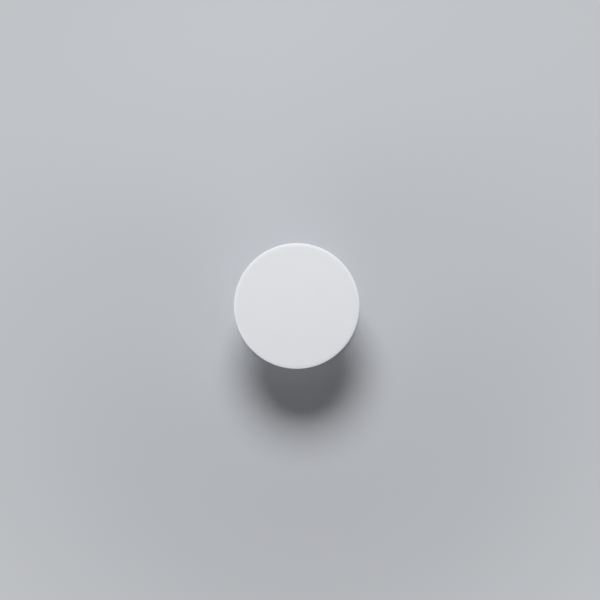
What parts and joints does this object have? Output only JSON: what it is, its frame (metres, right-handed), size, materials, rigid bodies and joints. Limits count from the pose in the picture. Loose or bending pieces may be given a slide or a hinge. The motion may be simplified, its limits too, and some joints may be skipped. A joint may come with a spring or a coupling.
{
  "type": "collapsible phone grip",
  "caption": "Round collapsible phone grip: a flat disc cap on a stepped conical bellows over a round base with an adhesive pad; pulls out for the fingers and presses flat.",
  "frame": {"origin": "middle of the adhesive pad's sticky underside", "axes": "+Z along the grip's axis, from the sticky face to the cap's face; +X and +Y lie in the sticky face"},
  "size_m": [0.04, 0.04, 0.022],
  "materials": {
    "pad_gel": "milky tacky gel",
    "base_plastic": "satin moulded white",
    "bellows_elastomer": "soft matte white",
    "cap_plastic": "satin moulded white"
  },
  "bodies": {
    "base": {"adhesive_pad": "pad_gel", "base_disc": "base_plastic", "base_ring": "base_plastic"},
    "bellows": {"bellows": "bellows_elastomer"},
    "cap": {"cap": "cap_plastic"}
  },
  "joints": [
    {"name": "collapse", "type": "slide", "parent": "base", "child": "bellows", "axis": [0, 0, 1], "range_m": [-0.0152, 0], "deforming": ["bellows"]},
    {"name": "cap_turn", "type": "hinge", "parent": "bellows", "child": "cap", "pos_m": [0, 0, 0.0206], "axis": [0, 0, 1], "continuous": true}
  ]
}
